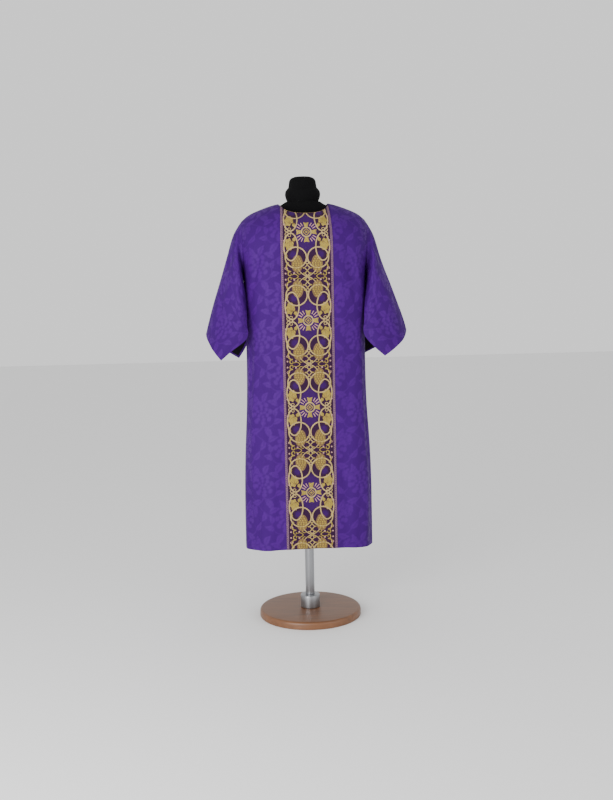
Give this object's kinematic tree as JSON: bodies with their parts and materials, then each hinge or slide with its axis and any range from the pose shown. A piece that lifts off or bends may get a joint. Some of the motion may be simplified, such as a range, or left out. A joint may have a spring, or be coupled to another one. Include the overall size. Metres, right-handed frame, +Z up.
{
  "type": "dalmatic on a dress form",
  "caption": "Purple damask dalmatic with open-sided sleeves and gold-brocaded orphreys front and back, worn by a limbless black dress form on a pole and a round wooden base.",
  "frame": {"origin": "on the floor, at the middle of the round base's underside, under the pole", "axes": "+Z up, the wearer faces -Y, and the wearer's left sleeve is towards +X"},
  "size_m": [0.696, 0.36, 1.536],
  "materials": {
    "damask": "satin damask",
    "brocade": "metallic brocade",
    "galloon": "metallic braid",
    "lining": "satin",
    "jersey": "matte",
    "steel": "satin",
    "wood": "satin varnish"
  },
  "bodies": {
    "root": {"front_panel": "damask", "front_orphrey": "brocade", "front_galloon_right": "galloon", "front_galloon_left": "galloon", "back_panel": "damask", "back_orphrey": "brocade", "back_galloon_right": "galloon", "back_galloon_left": "galloon", "sleeve_right": "damask", "sleeve_lining_right": "lining", "sleeve_left": "damask", "sleeve_lining_left": "lining", "form_torso": "jersey", "form_neck": "jersey", "torso_plate": "steel", "pole": "steel", "base_socket": "steel", "base": "wood"}
  },
  "joints": []
}
